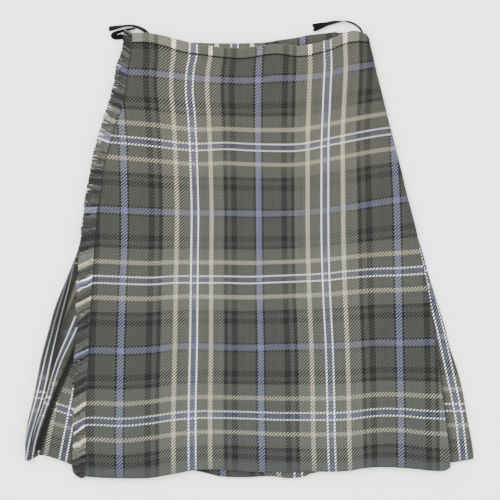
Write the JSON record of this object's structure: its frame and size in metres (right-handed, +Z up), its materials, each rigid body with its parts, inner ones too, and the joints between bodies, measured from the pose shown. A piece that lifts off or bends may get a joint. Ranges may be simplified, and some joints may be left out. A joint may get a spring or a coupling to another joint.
{
  "type": "scottish kilt",
  "caption": "Pleated wool kilt in a checked twill, laid flat front up: plain apron with a fringed edge, knife pleats behind, a narrow waistband and black hanger ribbons.",
  "frame": {"origin": "on the table, under the middle of the laid kilt's overall box", "axes": "+Z up from the table, +Y from the hem to the waist, +X to the right of a viewer who looks down at the front apron"},
  "size_m": [0.6212, 0.6323, 0.0167],
  "materials": {
    "kilt_wool": "woven wool twill, matt with a slight sheen",
    "band_wool": "woven wool twill of the pale stretches of the same check",
    "fringe_wool": "loose matt wool yarn",
    "black_ribbon": "woven ribbon with a soft sheen"
  },
  "bodies": {
    "root": {"outer_apron": "kilt_wool", "under_apron": "kilt_wool", "pleated_back": "kilt_wool", "side_pleats_left": "kilt_wool", "side_pleats_right": "kilt_wool", "waistband_front": "band_wool", "waistband_under": "band_wool", "waistband_back": "band_wool", "apron_fringe": "fringe_wool", "hanger_loop_right": "black_ribbon", "hanger_loop_left": "black_ribbon", "hanger_tail_left": "black_ribbon"}
  },
  "joints": []
}
